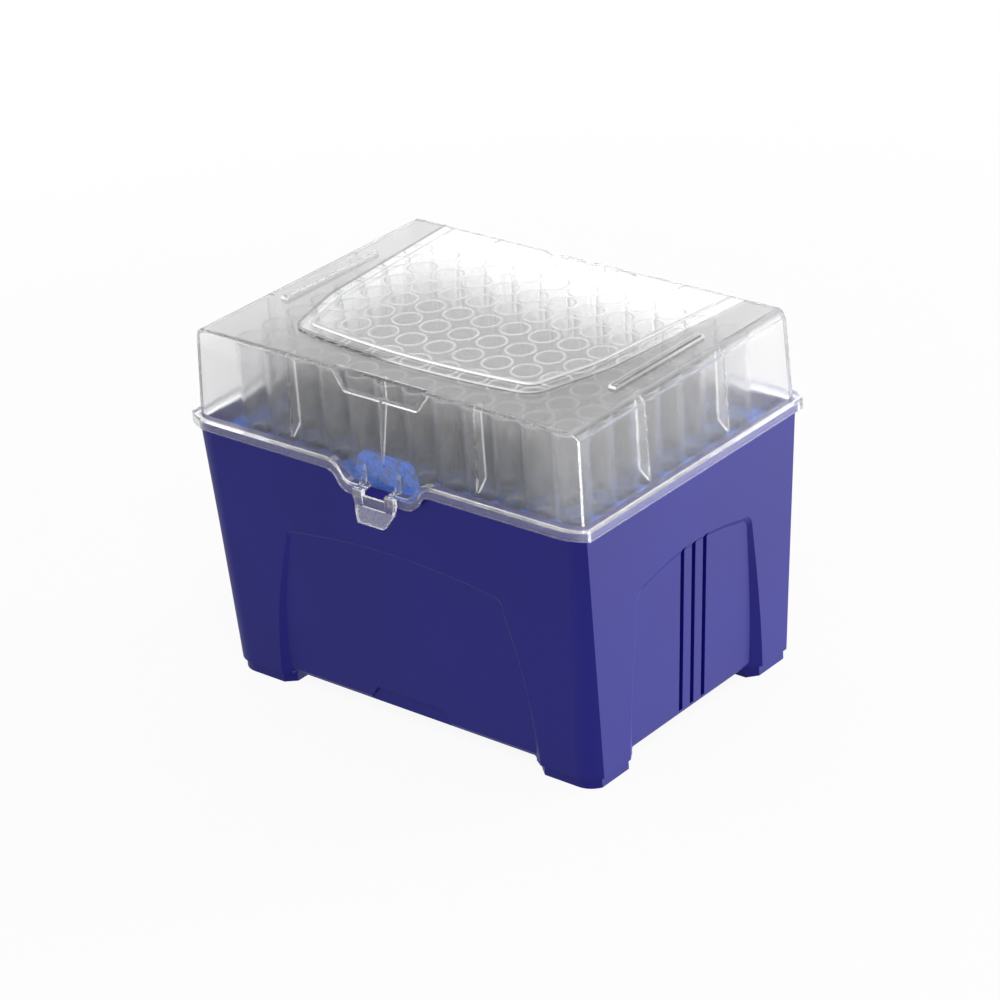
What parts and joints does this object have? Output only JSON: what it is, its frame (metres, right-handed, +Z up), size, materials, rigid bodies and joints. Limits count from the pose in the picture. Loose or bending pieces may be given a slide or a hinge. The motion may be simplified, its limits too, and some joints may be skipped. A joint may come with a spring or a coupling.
{
  "type": "box of pipette tips",
  "caption": "Box of pipette tips: deep blue base on four feet, azure rack plate full of clear tips, hinged clear lid with a front latch",
  "frame": {"origin": "on the table under the middle of the box's overall footprint", "axes": "+X along the long sides, -Y towards the latch at the front, +Z up"},
  "size_m": [0.1254, 0.0966, 0.0963],
  "materials": {
    "base_blue": "fine satin moulded polypropylene",
    "plate_azure": "satin moulded polypropylene",
    "lid_clear": "clear moulded plastic, lightly frosted round a polished window",
    "latch_clear": "clear moulded plastic",
    "tip_clear": "clear thin-walled polypropylene"
  },
  "bodies": {
    "base": {"base": "base_blue", "rack_plate": "plate_azure", "tips_column_01": "tip_clear", "tips_column_02": "tip_clear", "tips_column_03": "tip_clear", "tips_column_04": "tip_clear", "tips_column_05": "tip_clear", "tips_column_06": "tip_clear", "tips_column_07": "tip_clear", "tips_column_08": "tip_clear", "tips_column_09": "tip_clear", "tips_column_10": "tip_clear", "tips_column_11": "tip_clear", "tips_column_12": "tip_clear"},
    "lid": {"lid": "lid_clear"},
    "latch": {"latch": "latch_clear"}
  },
  "joints": [
    {"name": "lid_hinge", "type": "hinge", "parent": "base", "child": "lid", "pos_m": [0, 0.0461, 0.067], "axis": [-1, 0, 0], "range_deg": [0, 110]},
    {"name": "latch_flex", "type": "hinge", "parent": "lid", "child": "latch", "pos_m": [0, -0.04595, 0.06645], "axis": [-1, 0, 0], "range_deg": [0, 30], "stiffness_Nm_per_rad": 0.002}
  ]
}
